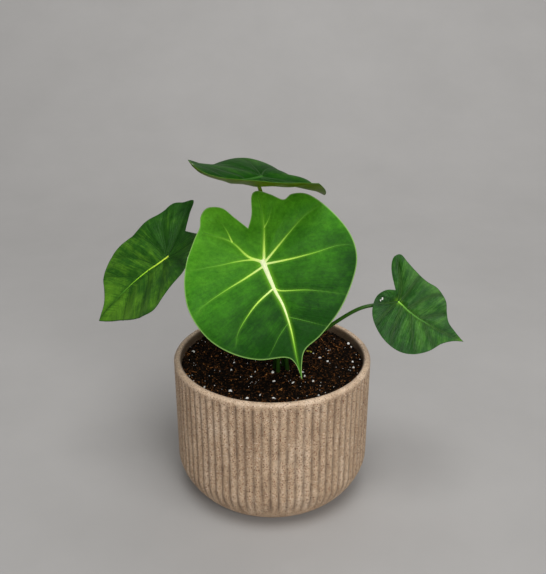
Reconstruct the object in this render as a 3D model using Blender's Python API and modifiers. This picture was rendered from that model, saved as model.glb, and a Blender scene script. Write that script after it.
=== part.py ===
"""Potted alocasia: a ribbed stoneware planter with one young elephant-ear plant.

Metres, +Z up.  The origin is the middle of the pot's flat base, and the pot stands
on the plane z = 0.  The plant's best side faces -Y.

Each leaf blade is drawn flat first, in millimetres, with the stalk's joint at (0, 0),
v running along the midrib to the tip and u running across it.  It is then laid on a
gently folded and bent surface and given its thickness.
"""

import math

import bmesh
import bpy
from mathutils import Vector

MM = 0.001
MERGE = 0.00001
GAP = 0.3 * MM

# ---- driving dimensions: pot -------------------------------------------------
POT_RADIUS = 70.0 * MM
POT_HEIGHT = 104.0 * MM
WALL = 5.2 * MM
FLOOR = 7.0 * MM
FOOT_RADIUS = 49.0 * MM
HEEL_HEIGHT = 27.0 * MM
HEEL_SHARPNESS = 1.33
WALL_LEAN = 0.009
RIM_ROUND = 2.2 * MM
RIB_COUNT = 75
RIB_DEPTH = 0.8 * MM
RIB_TOP = 100.5 * MM
RIB_FOOT = 10.0 * MM
DRAIN_RADIUS = 4.0 * MM
DRAIN_CIRCLE = 22.0 * MM
DRAIN_COUNT = 3

# ---- driving dimensions: soil, corm and stalks --------------------------------
SOIL_LEVEL = 97.0 * MM
CROWN = Vector((0.006, -0.008, 0.0))
CORM_RADIUS = 10.0 * MM
CORM_DEPTH = 30.0 * MM
CORM_COVER = 3.0 * MM
STALK_BASE_RADIUS = 1.8 * MM
STALK_TOP_RADIUS = 1.25 * MM
BLADE_THICKNESS = 0.8 * MM
FOLD_SOFTNESS = 5.0
SIDE_BLEND = 6.0
HOOK_START, HOOK_RUN = 48.0, 18.0
RINGS = 6


# ---- driving dimensions: the four leaves ---------------------------------------
# joint    where the stalk meets the blade, metres
# heading  compass of the midrib seen from above: 0 is +X, 90 is +Y
# droop    how far the midrib points below level
# tilt     turn of the blade about its midrib
# Pairs are (left half, right half).  The shape terms are millimetres of rise:
# fold, each millimetre out from the midrib; the others, each 100 square millimetres.
# hook     how far the last part of the tip lifts, millimetres
# root     where the stalk leaves the corm, metres from the crown
# via      points that the stalk passes through, metres
# outline  right half from the notch to the tip, then left half back to the notch
LEAVES = {
    "front": {
        "joint": (-0.006, -0.026, 0.185),
        "heading": 306, "droop": 58, "tilt": -28,
        "fold": (0.10, 0.10), "curl": (-0.12, -0.12), "tip": -0.10,
        "lobe": (-0.30, -0.30), "twist": (0.0, 0.0), "lobe_twist": (0.0, 0.0),
        "root": (-0.0020, -0.0045), "via": [(0.003, -0.011, 0.130), (0.000, -0.012, 0.170)],
        "right": [(3, -33), (7, -45), (12, -47), (19, -42), (26, -36), (33, -38), (43, -34),
                  (53, -20), (60, -2), (60, 14), (53, 28), (39, 44), (22, 56), (9, 62), (4, 70)],
        "tip_point": (1, 80),
        "left": [(0, 69), (-5, 63), (-22, 59), (-37, 50), (-49, 36), (-55, 18), (-54, 2),
                 (-48, -14), (-38, -28), (-32, -35), (-29, -42), (-23, -46), (-14, -43), (-8, -34)],
        "notch": (-2, -25),
    },
    "left": {
        "joint": (-0.072, 0.002, 0.178),
        "heading": 198, "droop": 40, "tilt": 14,
        "fold": (0.28, 0.37), "curl": (-0.10, -0.10), "tip": -0.13,
        "lobe": (-0.10, 0.05), "twist": (0.0, -0.25), "lobe_twist": (0.0, 0.25),
        "root": (-0.0045, 0.0020), "via": [(-0.012, -0.004, 0.125), (-0.046, 0.003, 0.162)],
        "right": [(4, -26), (12, -26), (19, -20), (27, -13), (35, -7), (37, 5), (39, 17), (42, 27),
                  (34, 37), (22, 46), (9, 54)],
        "tip_point": (-7, 66),
        "left": [(-11, 57), (-19, 50), (-29, 44), (-35, 35), (-37, 22), (-35, 8), (-35, -5),
                 (-33, -16), (-32, -27), (-27, -33), (-21, -39), (-15, -31)],
        "notch": (-6, -21),
    },
    "top": {
        "joint": (-0.0073, 0.0098, 0.2327),
        "heading": 221, "droop": 0, "tilt": 23,
        "fold": (-0.36, 0.30), "curl": (-0.38, 0.73), "tip": 0.54,
        "lobe": (-1.14, -0.24), "twist": (0.40, 0.45), "lobe_twist": (0.66, -1.34),
        "hook": 4.5,
        "root": (0.0020, 0.0040), "via": [(0.006, 0.003, 0.130), (-0.002, 0.010, 0.200)],
        "right": [(4, -29), (9, -38), (16, -40), (25, -36), (34, -28), (42, -17), (47, -3),
                  (48, 10), (44, 22), (37, 33), (26, 43), (14, 51), (5, 57)],
        "tip_point": (0, 66),
        "left": [(-5, 57), (-14, 51), (-26, 43), (-37, 33), (-44, 22), (-48, 10), (-47, -3),
                 (-42, -17), (-34, -28), (-25, -36), (-16, -40), (-8, -38), (-3, -29)],
        "notch": (0, -21),
    },
    "right": {
        "joint": (0.086, -0.012, 0.151),
        "heading": 330, "droop": 23, "tilt": -45,
        "fold": (0.18, 0.18), "curl": (-0.15, -0.15), "tip": -0.10,
        "lobe": (-0.25, -0.25), "twist": (0.0, 0.0), "lobe_twist": (0.0, 0.0),
        "root": (0.0050, -0.0010), "via": [(0.026, -0.008, 0.1195), (0.060, -0.009, 0.144)],
        "right": [(11, -12), (18, -18), (24, -20), (28, -17), (26, -10), (24, -2), (22, 8),
                  (22, 17), (18, 26), (12, 31), (7, 36), (4, 44)],
        "tip_point": (2, 51),
        "left": [(-2, 45), (-8, 40), (-17, 36), (-25, 29), (-29, 21), (-29, 11), (-26, 2),
                 (-20, -7), (-13, -12), (-5, -14), (2, -11)],
        "notch": (6, -5),
    },
}


# ---- helpers -------------------------------------------------------------------
def clear_scene():
    for item in list(bpy.data.objects):
        bpy.data.objects.remove(item, do_unlink=True)


def make_collection(name):
    collection = bpy.data.collections.new(name)
    bpy.context.scene.collection.children.link(collection)
    return collection


def make_material(name, colour, roughness, metallic=0.0):
    material = bpy.data.materials.new(name)
    material.use_nodes = True
    shader = material.node_tree.nodes["Principled BSDF"]
    shader.inputs["Base Color"].default_value = (*colour, 1.0)
    shader.inputs["Roughness"].default_value = roughness
    shader.inputs["Metallic"].default_value = metallic
    material.diffuse_color = (*colour, 1.0)
    return material


def add_mesh_object(name, bm, material, collection):
    mesh = bpy.data.meshes.new(name)
    bm.to_mesh(mesh)
    bm.free()
    mesh.shade_smooth()
    mesh.set_sharp_from_angle(angle=math.radians(40))
    piece = bpy.data.objects.new(name, mesh)
    piece.data.materials.append(material)
    collection.objects.link(piece)
    return piece


def spin_profile(points, steps):
    """Turn a list of (radius, height) once around Z, as an open wall."""
    bm = bmesh.new()
    verts = [bm.verts.new((radius, 0.0, height)) for radius, height in points]
    edges = [bm.edges.new(pair) for pair in zip(verts, verts[1:])]
    bmesh.ops.spin(bm, geom=verts + edges, cent=(0, 0, 0), axis=(0, 0, 1),
                   angle=math.tau, steps=steps, use_merge=True)
    bmesh.ops.remove_doubles(bm, verts=bm.verts, dist=MERGE)
    return bm


def close_and_face_out(bm):
    rims = [edge for edge in bm.edges if edge.is_boundary]
    if rims:
        bmesh.ops.holes_fill(bm, edges=rims, sides=0)
    bmesh.ops.recalc_face_normals(bm, faces=bm.faces)


def cut(piece, cutter):
    modifier = piece.modifiers.new("cut_" + cutter.name, 'BOOLEAN')
    modifier.operation = 'DIFFERENCE'
    modifier.solver = 'EXACT'
    modifier.object = cutter
    cutter.hide_render = True
    cutter.display_type = 'WIRE'


# ---- pot ------------------------------------------------------------------------
def outer_radius(height):
    """Outside of the pot: a round heel, then a wall that leans out very slightly."""
    wall = POT_RADIUS - WALL_LEAN * (POT_HEIGHT - height)
    if height >= HEEL_HEIGHT:
        return wall
    turn = math.asin((1.0 - height / HEEL_HEIGHT) ** (1.0 / HEEL_SHARPNESS))
    return FOOT_RADIUS + (wall - FOOT_RADIUS) * math.cos(turn) ** HEEL_SHARPNESS


def inner_radius(height):
    return max(outer_radius(height) - WALL, 0.0)


def rib_depth(height):
    """Ribs run from just under the rim and fade out on the heel."""
    top = min(max((RIB_TOP - height) / (2.0 * MM), 0.0), 1.0)
    foot = min(max((height - RIB_FOOT) / (10.0 * MM), 0.0), 1.0)
    return RIB_DEPTH * min(top, foot)


def pot_profile():
    """Radius and height from the underside, up the outside, over the rim, to the floor."""
    heel = [HEEL_HEIGHT * share for share in (0.0, 0.08, 0.22, 0.42, 0.68, 1.0)]
    wall = [RIB_TOP - 2.0 * MM, RIB_TOP]
    outside = [(outer_radius(height), height) for height in heel + wall]
    rim = []
    for step in range(5):
        turn = math.pi * step / 4
        middle = POT_RADIUS - WALL / 2
        rim.append((middle + WALL / 2 * math.cos(turn),
                    POT_HEIGHT - RIM_ROUND + RIM_ROUND * math.sin(turn)))
    inside = [(inner_radius(height), height) for height in (HEEL_HEIGHT, 0.55 * HEEL_HEIGHT)]
    floor = [(FOOT_RADIUS - WALL, FLOOR), (0.62 * FOOT_RADIUS, FLOOR)]
    return [(0.62 * FOOT_RADIUS, 0.0)] + outside + rim + inside + floor


def make_pot(collection, cutters):
    bm = spin_profile(pot_profile(), steps=2 * RIB_COUNT)
    for vert in bm.verts:
        radius = math.hypot(vert.co.x, vert.co.y)
        middle = outer_radius(min(vert.co.z, POT_HEIGHT)) - WALL / 2
        if radius > middle:
            step = round(math.atan2(vert.co.y, vert.co.x) / math.tau * 2 * RIB_COUNT)
            if step % 2:
                shrink = (radius - rib_depth(vert.co.z)) / radius
                vert.co.x *= shrink
                vert.co.y *= shrink
    close_and_face_out(bm)
    clay = make_material("speckled_stoneware", (0.30, 0.23, 0.165), 0.75)
    pot = add_mesh_object("pot", bm, clay, collection)
    for index in range(DRAIN_COUNT):
        turn = math.tau * (index + 0.25) / DRAIN_COUNT
        drill = bmesh.new()
        bmesh.ops.create_cone(drill, cap_ends=True, segments=16, radius1=DRAIN_RADIUS,
                              radius2=DRAIN_RADIUS, depth=3 * FLOOR)
        cutter = add_mesh_object("drain_cutter_%d" % index, drill, clay, cutters)
        cutter.location = (DRAIN_CIRCLE * math.cos(turn), DRAIN_CIRCLE * math.sin(turn), 0)
        cut(pot, cutter)
    return pot


# ---- soil and corm ------------------------------------------------------------------
def stalk_start(leaf):
    """Foot of a stalk, just clear of the top of the corm."""
    lift = SOIL_LEVEL - CORM_COVER + GAP
    return CROWN + Vector((*leaf["root"], lift))


def corm_profile(extra):
    """Egg-shaped corm, grown by `extra` on every side, from its top pole to its bottom."""
    middle = SOIL_LEVEL - CORM_COVER - CORM_DEPTH / 2
    points = []
    for step in range(9):
        turn = math.pi * step / 8
        points.append(((CORM_RADIUS + extra) * math.sin(turn),
                       middle + (CORM_DEPTH / 2 + extra) * math.cos(turn)))
    return points


def make_soil(collection, cutters):
    profile = [(0.5 * FOOT_RADIUS, FLOOR + GAP), (FOOT_RADIUS - WALL - GAP, FLOOR + GAP)]
    profile += [(inner_radius(height) - 3 * GAP, height)
                for height in (0.55 * HEEL_HEIGHT, HEEL_HEIGHT)]
    profile += [(inner_radius(SOIL_LEVEL) - 2 * GAP, SOIL_LEVEL),
                (0.5 * FOOT_RADIUS, SOIL_LEVEL)]
    bm = spin_profile(profile, steps=60)
    close_and_face_out(bm)
    earth = make_material("potting_mix", (0.022, 0.012, 0.007), 0.95)
    soil = add_mesh_object("soil", bm, earth, collection)

    bm = spin_profile(corm_profile(GAP), steps=20)
    close_and_face_out(bm)
    nest = add_mesh_object("corm_nest", bm, earth, cutters)
    nest.location = CROWN
    cut(soil, nest)
    for name, leaf in LEAVES.items():
        sleeve = bmesh.new()
        bmesh.ops.create_cone(sleeve, cap_ends=True, segments=16,
                              radius1=STALK_BASE_RADIUS + 1.3 * GAP,
                              radius2=STALK_BASE_RADIUS + 1.3 * GAP, depth=6 * CORM_COVER)
        cutter = add_mesh_object("stalk_hole_" + name, sleeve, earth, cutters)
        cutter.location = stalk_start(leaf)
        cut(soil, cutter)
    return soil


def make_corm(collection):
    bm = spin_profile(corm_profile(0.0), steps=20)
    close_and_face_out(bm)
    bark = make_material("corm_bark", (0.16, 0.09, 0.045), 0.85)
    corm = add_mesh_object("corm", bm, bark, collection)
    corm.location = CROWN
    return corm


# ---- leaves --------------------------------------------------------------------------
def leaf_axes(leaf):
    """Unit vectors along the midrib, across the blade and out of its upper face."""
    heading, droop, tilt = (math.radians(leaf[key]) for key in ("heading", "droop", "tilt"))
    along = Vector((math.cos(heading) * math.cos(droop),
                    math.sin(heading) * math.cos(droop), -math.sin(droop)))
    upright = (Vector((0, 0, 1)) - along * along.z).normalized()
    sideways = upright.cross(along)
    face = upright * math.cos(tilt) + sideways * math.sin(tilt)
    return along, face.cross(along), face


def leaf_rise(leaf, u, v):
    """Height of the blade above its flat plane, in millimetres."""
    share = 0.5 * (1.0 + math.tanh(u / SIDE_BLEND))

    def blend(key):
        left, right = leaf[key]
        return left * (1.0 - share) + right * share

    ahead, behind = max(v, 0.0), max(-v, 0.0)
    rise = blend("fold") * (math.hypot(u, FOLD_SOFTNESS) - FOLD_SOFTNESS)
    rise += (blend("curl") * u * u + leaf["tip"] * ahead ** 2 + blend("lobe") * behind ** 2
             + blend("twist") * abs(u) * ahead + blend("lobe_twist") * abs(u) * behind) / 100
    return rise + leaf.get("hook", 0.0) * (max(v - HOOK_START, 0.0) / HOOK_RUN) ** 2


def leaf_point(leaf, u, v):
    along, across, face = leaf_axes(leaf)
    return (Vector(leaf["joint"])
            + (along * v + across * u + face * leaf_rise(leaf, u, v)) * MM)


def smooth_between(before, start, end, after, share):
    """Catmull-Rom point between start and end."""
    a, b, c, d = (Vector(point) for point in (before, start, end, after))
    return 0.5 * (2 * b + (c - a) * share + (2 * a - 5 * b + 4 * c - d) * share ** 2
                  + (3 * b - a - 3 * c + d) * share ** 3)


def leaf_outline(leaf, parts):
    """Closed outline with sharp corners at the notch and the tip only."""
    points = []
    sides = ([leaf["notch"]] + leaf["right"] + [leaf["tip_point"]],
             [leaf["tip_point"]] + leaf["left"] + [leaf["notch"]])
    for side in sides:
        padded = [side[0]] + side + [side[-1]]
        for index in range(len(side) - 1):
            for part in range(parts):
                points.append(smooth_between(*padded[index:index + 4], part / parts))
    return points


def make_blade(name, leaf, material, collection):
    """A spun disc whose rings are stretched to the outline and laid on the leaf's surface."""
    outline = leaf_outline(leaf, parts=2)
    count = len(outline)
    disc = [(ring / RINGS, 0.0) for ring in range(RINGS + 1)]
    bm = spin_profile(disc, steps=count)
    for vert in bm.verts:
        ring = vert.co.length
        step = round(math.atan2(vert.co.y, vert.co.x) / math.tau * count) % count
        edge_u, edge_v = outline[step]
        vert.co = leaf_point(leaf, edge_u * ring, edge_v * ring)
    bmesh.ops.recalc_face_normals(bm, faces=bm.faces)
    blade = add_mesh_object("blade_" + name, bm, material, collection)
    solidify = blade.modifiers.new("thickness", 'SOLIDIFY')
    solidify.thickness = BLADE_THICKNESS
    solidify.offset = 0.0
    return blade


def make_stalk(name, leaf, material, collection):
    """A tapered round stalk from the corm's crown to the underside of the blade."""
    face = leaf_axes(leaf)[2]
    joint = Vector(leaf["joint"])
    start = stalk_start(leaf)
    end = joint - face * (BLADE_THICKNESS / 2 + 3 * GAP)
    bend = joint - face * 7 * MM
    route = [start, start + Vector((0, 0, 16 * MM))]
    route += [Vector(point) for point in leaf["via"]] + [bend, end]

    curve = bpy.data.curves.new("petiole_" + name, 'CURVE')
    curve.dimensions = '3D'
    curve.bevel_depth = 1.0
    curve.bevel_resolution = 2
    curve.use_fill_caps = True
    parts = 4
    padded = [route[0]] + route + [route[-1]]
    points = [smooth_between(*padded[index:index + 4], part / parts)
              for index in range(len(route) - 1) for part in range(parts)]
    points.append(end)
    spline = curve.splines.new('POLY')
    spline.points.add(len(points) - 1)
    for index, point in enumerate(points):
        share = index / (len(points) - 1)
        spline.points[index].co = (*point, 1.0)
        spline.points[index].radius = (STALK_BASE_RADIUS * (1 - share)
                                       + STALK_TOP_RADIUS * share)
    spline.use_smooth = True
    curve.materials.append(material)
    stalk = bpy.data.objects.new("petiole_" + name, curve)
    collection.objects.link(stalk)
    return stalk


def main():
    clear_scene()
    parts = make_collection("potted_alocasia")
    cutters = make_collection("cutters")
    make_pot(parts, cutters)
    make_soil(parts, cutters)
    make_corm(parts)
    greens = {"front": (0.065, 0.20, 0.018), "left": (0.025, 0.105, 0.012),
              "top": (0.028, 0.11, 0.014), "right": (0.028, 0.115, 0.016)}
    stem = make_material("stalk_green", (0.11, 0.18, 0.02), 0.45)
    for name, leaf in LEAVES.items():
        skin = make_material("leaf_green_" + name, greens[name], 0.4)
        make_blade(name, leaf, skin, parts)
        make_stalk(name, leaf, stem, parts)


main()
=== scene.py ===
# %% [markdown]
# # A potted alocasia in a ribbed stoneware planter
#
# The plant is a young elephant ear: four heart-shaped leaves on slender stalks that
# rise from a buried corm, in a round pot of dark potting mix.  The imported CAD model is
# the frame.  It fixes where everything is and how big it is, and this notebook grows
# the surface that people see: veined leaves, crumbly soil and speckled fluted clay.

import math

import bmesh
import bpy
import numpy as np
from mathutils import Matrix, Vector, noise


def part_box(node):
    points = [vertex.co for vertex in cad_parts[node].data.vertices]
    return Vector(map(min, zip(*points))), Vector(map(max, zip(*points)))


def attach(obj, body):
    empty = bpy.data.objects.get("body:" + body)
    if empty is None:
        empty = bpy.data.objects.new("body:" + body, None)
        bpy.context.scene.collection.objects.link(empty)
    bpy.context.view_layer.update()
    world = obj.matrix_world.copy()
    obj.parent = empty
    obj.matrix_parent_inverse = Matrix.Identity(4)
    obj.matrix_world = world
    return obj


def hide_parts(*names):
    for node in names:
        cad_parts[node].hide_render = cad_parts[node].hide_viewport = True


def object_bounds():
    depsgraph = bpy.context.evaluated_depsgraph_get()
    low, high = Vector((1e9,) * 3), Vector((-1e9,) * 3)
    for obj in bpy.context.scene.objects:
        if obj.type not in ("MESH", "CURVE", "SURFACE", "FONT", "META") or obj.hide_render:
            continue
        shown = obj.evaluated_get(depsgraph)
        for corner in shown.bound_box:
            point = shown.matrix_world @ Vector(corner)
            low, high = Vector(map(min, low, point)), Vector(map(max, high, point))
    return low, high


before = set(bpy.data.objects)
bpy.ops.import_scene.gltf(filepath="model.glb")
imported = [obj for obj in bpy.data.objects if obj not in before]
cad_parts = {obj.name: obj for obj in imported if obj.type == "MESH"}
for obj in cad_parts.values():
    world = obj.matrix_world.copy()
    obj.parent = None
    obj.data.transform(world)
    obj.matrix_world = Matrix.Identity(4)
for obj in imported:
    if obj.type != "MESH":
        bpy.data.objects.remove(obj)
cad_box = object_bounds()
MM = 0.001
low, high = (Vector(corner) for corner in cad_box)
print("CAD box, mm:", [round(v / MM, 1) for v in high - low])

# %% [markdown]
# ## Camera
#
# A product shot like this is taken from a little above the rim, so that the soil shows
# as an ellipse.  The camera aims at a point on the pot's axis, about three fifths of
# the way up, and a fairly long lens keeps the pot's sides nearly parallel.

# %% Camera
AIM_HEIGHT = 0.1563
CAMERA_DISTANCE = 0.63
CAMERA_PITCH = math.radians(24.04)
FOCAL_MM = 57.14

camera_data = bpy.data.cameras.new("camera")
camera_data.lens = FOCAL_MM
camera_data.sensor_width = 36.0
camera_data.shift_x = 0.0014
camera = bpy.data.objects.new("camera", camera_data)
bpy.context.scene.collection.objects.link(camera)
aim = Vector((0.0, 0.0, AIM_HEIGHT))
camera.location = aim + CAMERA_DISTANCE * Vector(
    (0.0, -math.cos(CAMERA_PITCH), math.sin(CAMERA_PITCH)))
camera.rotation_euler = (math.pi / 2 - CAMERA_PITCH, 0.0, 0.0)
bpy.context.scene.camera = camera
print("camera at", [round(v, 3) for v in camera.location])

# %% [markdown]
# ## Node helpers
#
# Materials and Geometry Nodes are both trees of nodes.  A Recipe holds one tree, and
# each of its methods adds one kind of node, fills in its settings and plugs other nodes
# into it, so that each recipe below reads as a list of steps.  Colours are written as
# seen on a screen, 0 to 255.  The frame's own display transform is set to Standard, so
# that a colour in a material is the colour on the page.

# %% Node helpers
bpy.context.scene.view_settings.view_transform = 'Standard'


def srgb(colour):
    """Screen colour turned into the linear values Blender mixes; a socket stays as it is."""
    if not isinstance(colour, tuple):
        return colour
    channels = [channel / 255.0 for channel in colour]
    linear = [c / 12.92 if c <= 0.04045 else ((c + 0.055) / 1.055) ** 2.4 for c in channels]
    return (*linear, 1.0)


class Recipe:
    """A node tree, with a short call for each kind of step that the recipes take."""

    def __init__(self, tree):
        self.tree = tree

    def plug(self, socket, value):
        """Link a socket to another one, or set it where the value is a constant."""
        if isinstance(value, bpy.types.NodeSocket):
            self.tree.links.new(value, socket)
        else:
            socket.default_value = value

    def add(self, kind, inputs=None, **settings):
        """Add a node, set its properties, and fill or link its inputs by name or index."""
        node = self.tree.nodes.new(kind)
        for key, value in settings.items():
            setattr(node, key, value)
        for key, value in (inputs or {}).items():
            self.plug(node.inputs[key], value)
        return node

    def first(self, kind, inputs=None, **settings):
        """Add a node and give its first output."""
        return self.add(kind, inputs, **settings).outputs[0]

    def math(self, operation, a, b=0.0, clamp=False):
        return self.first("ShaderNodeMath", {0: a, 1: b}, operation=operation,
                          use_clamp=clamp)

    def times(self, a, b, clamp=False):
        return self.math('MULTIPLY', a, b, clamp)

    def vector(self, operation, a, b=None):
        """Vector maths.  SCALE takes its factor in socket 3, the others use socket 1."""
        inputs = {0: a}
        if b is not None:
            inputs[3 if operation == 'SCALE' else 1] = b
        outputs = self.add("ShaderNodeVectorMath", inputs, operation=operation).outputs
        return outputs["Value"] if operation == 'LENGTH' else outputs[0]

    def split(self, vector):
        return self.add("ShaderNodeSeparateXYZ", {0: vector}).outputs

    def remap(self, value, span, result, **settings):
        """Carry one span of values over to another, and clamp at its ends."""
        return self.first("ShaderNodeMapRange", {"Value": value, 1: span[0], 2: span[1],
                          3: result[0], 4: result[1]}, **settings)

    def stretch(self, vector, scale):
        return self.first("ShaderNodeMapping", {0: vector, 3: scale})

    def noise(self, vector, scale, detail=3.0, roughness=0.5):
        return self.add("ShaderNodeTexNoise", {"Vector": vector, "Scale": scale,
                        "Detail": detail, "Roughness": roughness}).outputs["Fac"]

    def attribute(self, name):
        return self.add("ShaderNodeAttribute", attribute_name=name).outputs["Fac"]

    def blend(self, share, first, second, blend_type='MIX'):
        """Mix two colours.  A colour mix node keeps its colour sockets at 6 and 7."""
        return self.add("ShaderNodeMix", {0: share, 6: first, 7: srgb(second)},
                        data_type='RGBA', blend_type=blend_type).outputs[2]

    def ramp(self, value, stops):
        """A colour ramp from a list of (position, colour or grey level)."""
        node = self.add("ShaderNodeValToRGB", {0: value})
        elements = node.color_ramp.elements
        while len(elements) < len(stops):
            elements.new(0.5)
        for element, (position, colour) in zip(elements, stops):
            element.position = position
            grey = (colour,) * 3 + (1.0,)
            element.color = srgb(colour) if isinstance(colour, tuple) else grey
        return node.outputs[0]

    def bump(self, height, distance, strength, below=None):
        inputs = {"Height": height, "Distance": distance, "Strength": strength}
        if below is not None:
            inputs["Normal"] = below
        return self.first("ShaderNodeBump", inputs)


class Skin(Recipe):
    """The recipe of a new material.  `place` is a point's place on its own object."""

    def __init__(self, name):
        self.material = bpy.data.materials.new(name)
        self.material.use_nodes = True
        super().__init__(self.material.node_tree)
        self.place = self.add("ShaderNodeTexCoord").outputs["Object"]

    def done(self, colour, roughness, shine, normal=None):
        """Plug the results into the shader and hand over the material."""
        shader = self.tree.nodes["Principled BSDF"].inputs
        self.plug(shader["Base Color"], colour)
        self.plug(shader["Roughness"], roughness)
        self.plug(shader["Specular IOR Level"], shine)
        if normal is not None:
            self.plug(shader["Normal"], normal)
        return self.material


class Group(Recipe):
    """A Geometry Nodes tree with a geometry in and out, and the named inputs given."""

    def __init__(self, name, sockets):
        super().__init__(bpy.data.node_groups.new(name, 'GeometryNodeTree'))
        sides = self.tree.interface
        sides.new_socket("Geometry", in_out='INPUT', socket_type='NodeSocketGeometry')
        for label, kind, value in sockets:
            socket = sides.new_socket(label, in_out='INPUT', socket_type="NodeSocket" + kind)
            if value is not None:
                socket.default_value = value
        sides.new_socket("Geometry", in_out='OUTPUT', socket_type='NodeSocketGeometry')
        self.inputs = self.tree.nodes.new("NodeGroupInput").outputs

    def move(self, geometry, offset):
        return self.first("GeometryNodeSetPosition", {"Geometry": geometry,
                                                      "Offset": offset})

    def end(self, geometry):
        """Realize instances, set the material, and hand over the tree."""
        real = self.first("GeometryNodeRealizeInstances", {0: geometry})
        painted = self.first("GeometryNodeSetMaterial", {
            "Geometry": real, "Material": self.inputs["Material"]})
        self.add("NodeGroupOutput", {0: painted})
        return self.tree


print("display transform:", bpy.context.scene.view_settings.view_transform)

# %% [markdown]
# ## Mesh helpers
#
# A turned shape is a profile spun round the vertical axis.  Leaves and veins follow
# smooth curves through a few points.  A modifier made of Geometry Nodes is applied by
# reading the evaluated mesh, which leaves a plain mesh with nothing live on it.

# %% Mesh helpers
def smooth_path(points, parts, closed=False):
    """Catmull-Rom curve through the points, with `parts` steps between neighbours."""
    points = np.array(points, dtype=float)
    if closed:
        padded = np.concatenate([points[-1:], points, points[:2]])
    else:
        padded = np.concatenate([points[:1], points, points[-1:]])
    share = (np.arange(parts) / parts)[:, None]
    pieces = []
    for a, b, c, d in zip(padded, padded[1:], padded[2:], padded[3:]):
        pieces.append(0.5 * (2 * b + (c - a) * share + (2 * a - 5 * b + 4 * c - d) * share ** 2
                             + (3 * b - a - 3 * c + d) * share ** 3))
    if not closed:
        pieces.append(points[-1:])
    return np.concatenate(pieces)


def link_mesh(name, mesh):
    piece = bpy.data.objects.new(name, mesh)
    bpy.context.scene.collection.objects.link(piece)
    return piece


def link_bmesh(name, bm):
    mesh = bpy.data.meshes.new(name)
    bm.to_mesh(mesh)
    bm.free()
    return link_mesh(name, mesh)


def spin_profile(name, points, steps):
    """Turn (radius, height) points once round Z into a closed, outward-facing mesh.
    Its faces are put in order, so that grains strewn on it fall the same way each time."""
    bm = bmesh.new()
    verts = [bm.verts.new((radius, 0.0, height)) for radius, height in points]
    edges = [bm.edges.new(pair) for pair in zip(verts, verts[1:])]
    bmesh.ops.spin(bm, geom=verts + edges, cent=(0, 0, 0), axis=(0, 0, 1),
                   angle=math.tau, steps=steps, use_merge=True)
    bmesh.ops.remove_doubles(bm, verts=bm.verts, dist=0.00001)
    bmesh.ops.recalc_face_normals(bm, faces=bm.faces)
    bm.verts.index_update()
    faces = []
    for face in bm.faces:
        corners = [vert.index for vert in face.verts]
        first = corners.index(min(corners))
        faces.append(corners[first:] + corners[:first])
    mesh = bpy.data.meshes.new(name)
    mesh.from_pydata([tuple(vert.co) for vert in bm.verts], [], sorted(faces))
    bm.free()
    mesh.shade_smooth()
    return link_mesh(name, mesh)


def put_attribute(mesh, name, values):
    attribute = mesh.attributes.new(name, 'FLOAT', 'POINT')
    attribute.data.foreach_set("value", np.asarray(values, dtype=np.float32))


def bake(piece, modifier):
    """Keep what a modifier makes as the object's plain mesh, and take it off."""
    graph = bpy.context.evaluated_depsgraph_get()
    mesh = bpy.data.meshes.new_from_object(piece.evaluated_get(graph), depsgraph=graph)
    mesh.name = piece.name
    piece.modifiers.remove(modifier)
    old, piece.data = piece.data, mesh
    bpy.data.meshes.remove(old)


def grow(piece, tree, values):
    """Run a Geometry Nodes tree on an object, with the named inputs given."""
    modifier = piece.modifiers.new(tree.name, 'NODES')
    modifier.node_group = tree
    for item in tree.interface.items_tree:
        if item.item_type == 'SOCKET' and item.in_out == 'INPUT' and item.name in values:
            modifier[item.identifier] = values[item.name]
    bake(piece, modifier)
    triangles = sum(len(face.vertices) - 2 for face in piece.data.polygons)
    print("%-16s %7d triangles" % (piece.name, triangles))


def finish_piece(piece, slot, *nodes):
    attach(piece, "root")
    if nodes:
        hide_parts(*nodes)


# %% [markdown]
# ## Stoneware clay
#
# The planter is unglazed buff stoneware: warm beige clay, full of iron specks that
# fire dark brown and rust.  The grooves between the ribs are darker, with dust and with
# painted shade.  The rim is worn smoother by hands and its crest gets a painted
# highlight, and above the soil the inside is painted dark brown, as a damp stain and as
# painted shade.  Specks are cells of a Voronoi texture, kept only where a random value
# per cell is high.

# %% Stoneware material
# Radii between which the damp stain and painted shade inside set in and the height
# above which they show, then the heights between which the rim's crest gets a painted
# highlight and is worn smoother, all in metres.
DAMP_AND_SHADE_RADII, DAMP_AND_SHADE_ABOVE = (0.0664, 0.0652), 0.06
RIM_HIGHLIGHT_AND_WEAR_HEIGHTS = (0.1005, 0.1030)

# Each row: cells per metre, dot size as a share of a cell, share left out, colour.
SPECKS = [
    (980.0, 0.34, 0.45, (152, 114, 84)),
    (780.0, 0.30, 0.62, (136, 86, 56)),
    (620.0, 0.27, 0.72, (106, 62, 38)),
    (480.0, 0.19, 0.84, (78, 56, 44)),
    (760.0, 0.30, 0.80, (228, 208, 186)),
]


def speck_mask(skin, vector, scale, size, rarity):
    """Small dots: 1 inside a speck, 0 outside, with only some cells showing one."""
    cells = skin.add("ShaderNodeTexVoronoi", {"Vector": vector, "Scale": scale}).outputs
    dot = skin.math('LESS_THAN', cells["Distance"], size)
    pick = skin.first("ShaderNodeSeparateColor", {0: cells["Color"]})
    return skin.times(dot, skin.math('GREATER_THAN', pick, rarity))


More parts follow.
